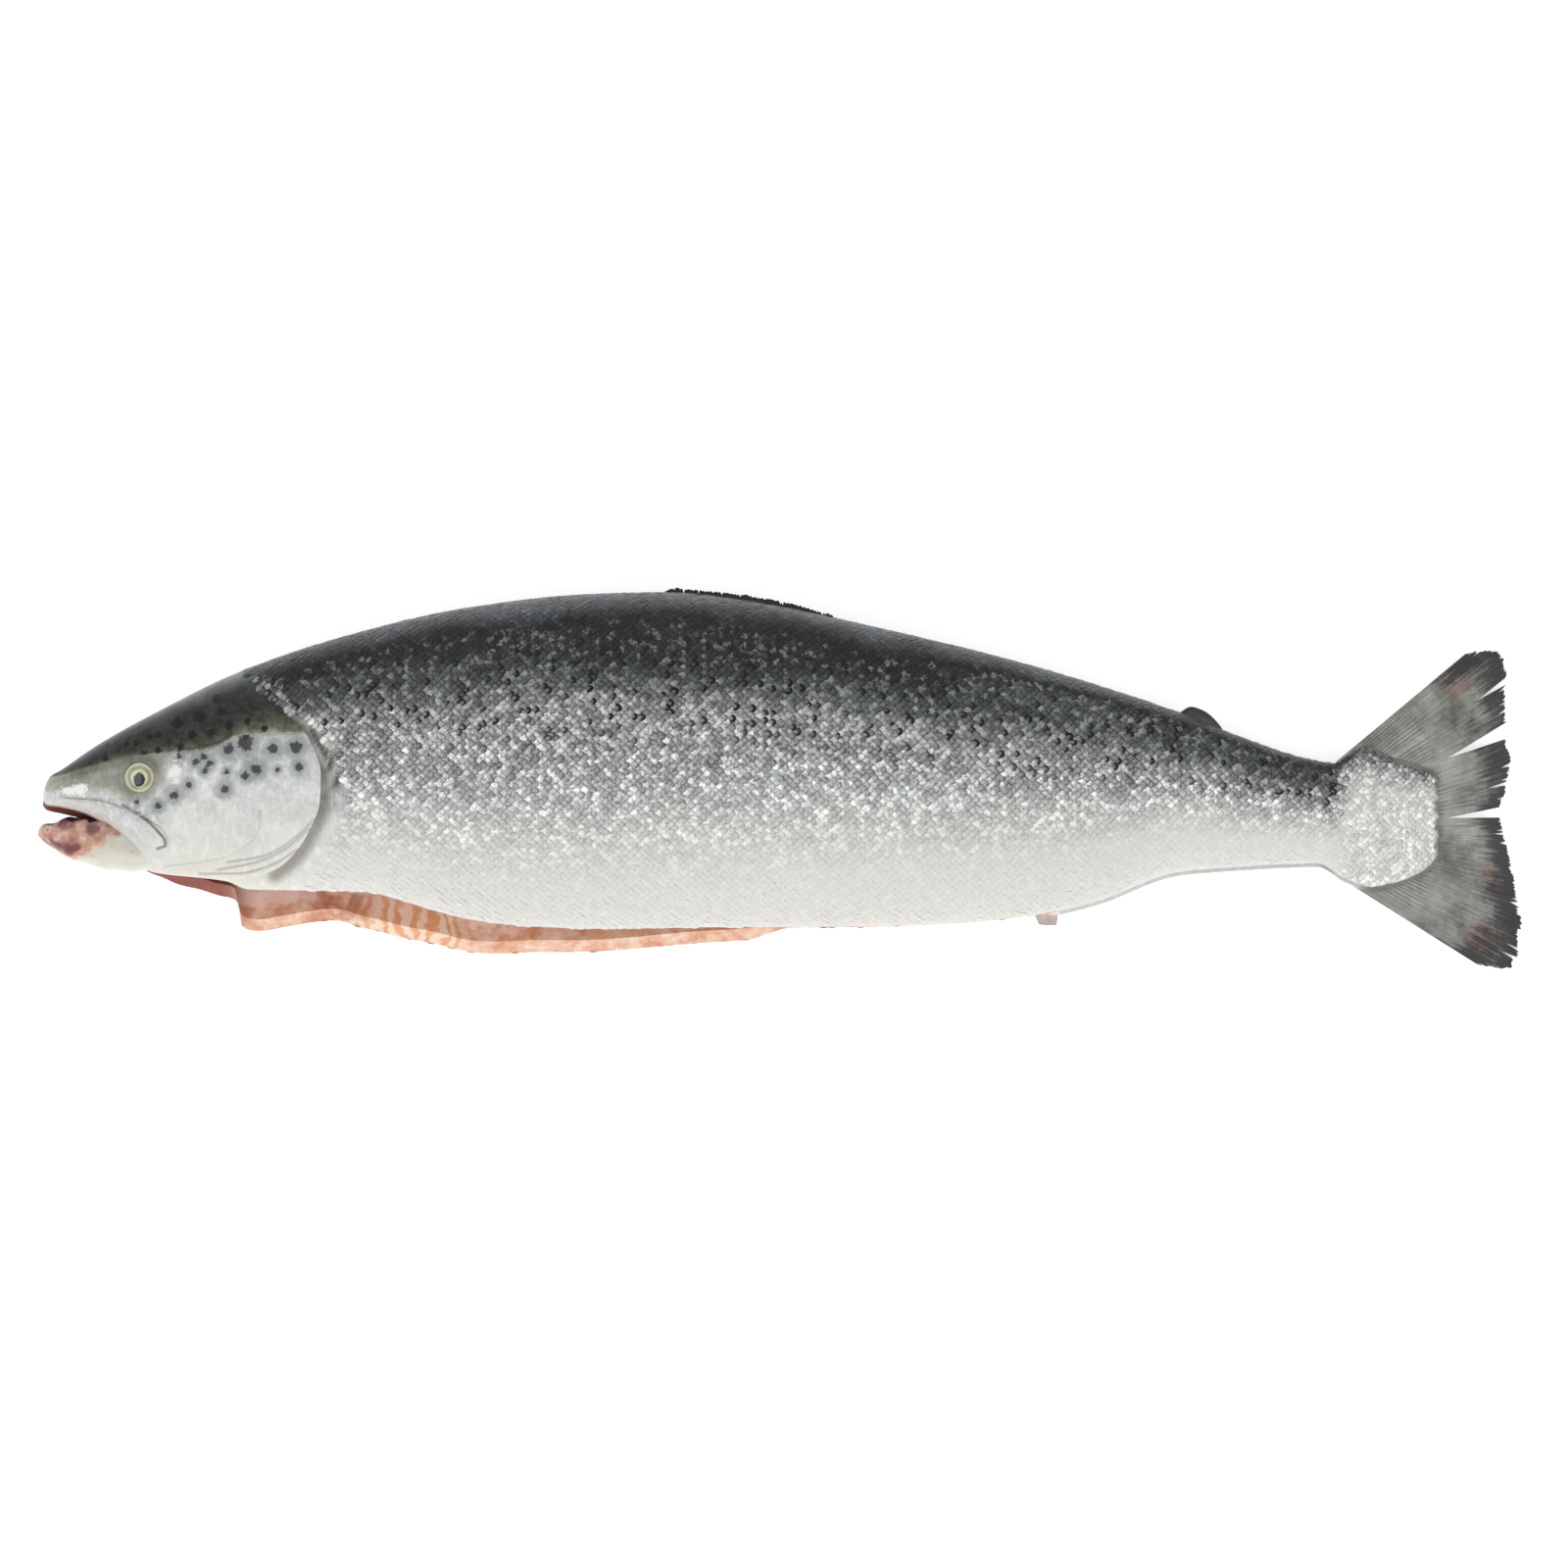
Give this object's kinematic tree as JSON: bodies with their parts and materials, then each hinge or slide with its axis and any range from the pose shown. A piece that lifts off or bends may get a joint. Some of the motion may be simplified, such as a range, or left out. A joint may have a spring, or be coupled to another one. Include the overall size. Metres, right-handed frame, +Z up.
{
  "type": "whole gutted salmon",
  "caption": "Whole gutted salmon, head on, lying on its right side with its belly slit open; silver scaled flank, dark back, gill cover, trimmed fins and a worn, split tail.",
  "frame": {"origin": "middle of the fish's length and breadth, on the surface that it lies on", "axes": "+X from the head to the tail, +Y from the belly to the back, +Z up through the fish's left flank"},
  "size_m": [0.7502, 0.1936, 0.082],
  "materials": {
    "silver_skin": "wet scaled skin, slate back to silver-white belly, peach flesh where it is cut"
  },
  "bodies": {
    "root": {"salmon_body": "silver_skin"}
  },
  "joints": []
}
